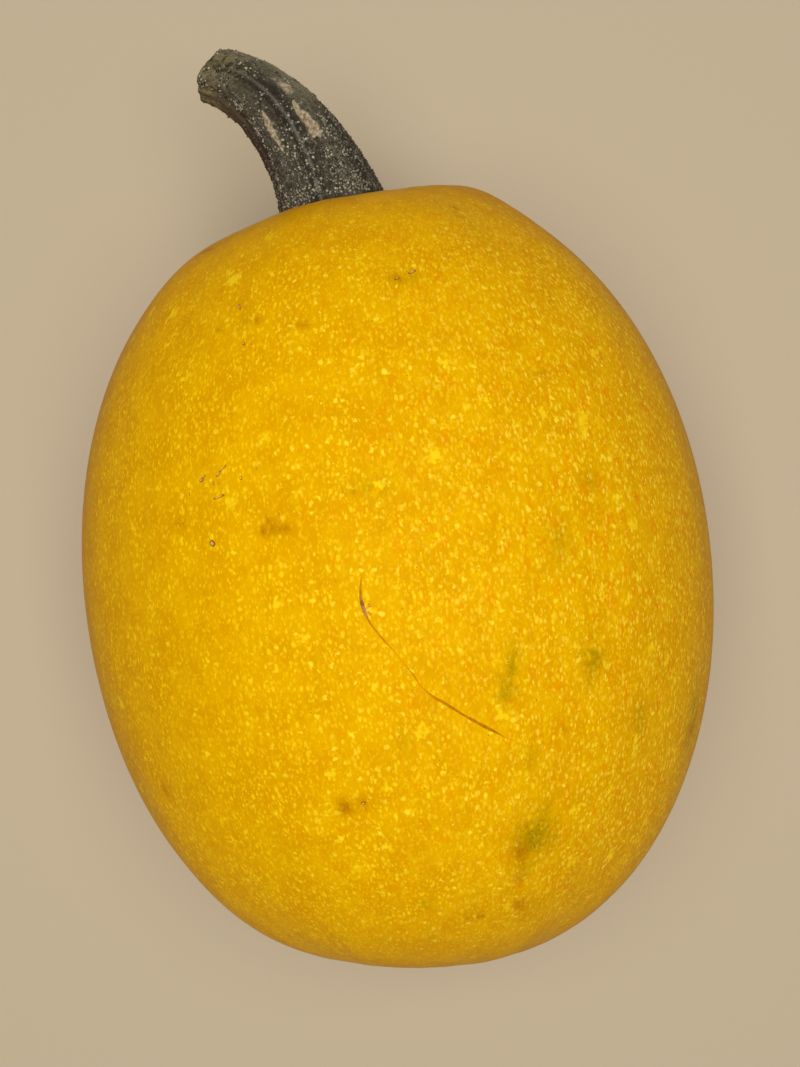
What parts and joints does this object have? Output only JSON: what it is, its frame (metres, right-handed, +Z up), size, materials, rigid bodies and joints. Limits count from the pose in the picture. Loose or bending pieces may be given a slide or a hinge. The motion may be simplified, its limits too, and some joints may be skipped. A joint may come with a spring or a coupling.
{
  "type": "spaghetti squash",
  "caption": "Oval golden winter squash lying on its side, with pale flecks in its rind and a curved, ribbed, dried stalk at its end.",
  "frame": {"origin": "centre of the small flat spot that the fruit rests on", "axes": "+Y along the fruit towards its stalk, +X to the right seen from above, +Z up"},
  "size_m": [0.154, 0.2299, 0.148],
  "materials": {
    "rind": "satin, waxy golden rind with pale yellow flecks",
    "dried_stalk": "dry, rough, ribbed and bristly"
  },
  "bodies": {
    "root": {"fruit": "rind", "stalk": "dried_stalk"}
  },
  "joints": []
}
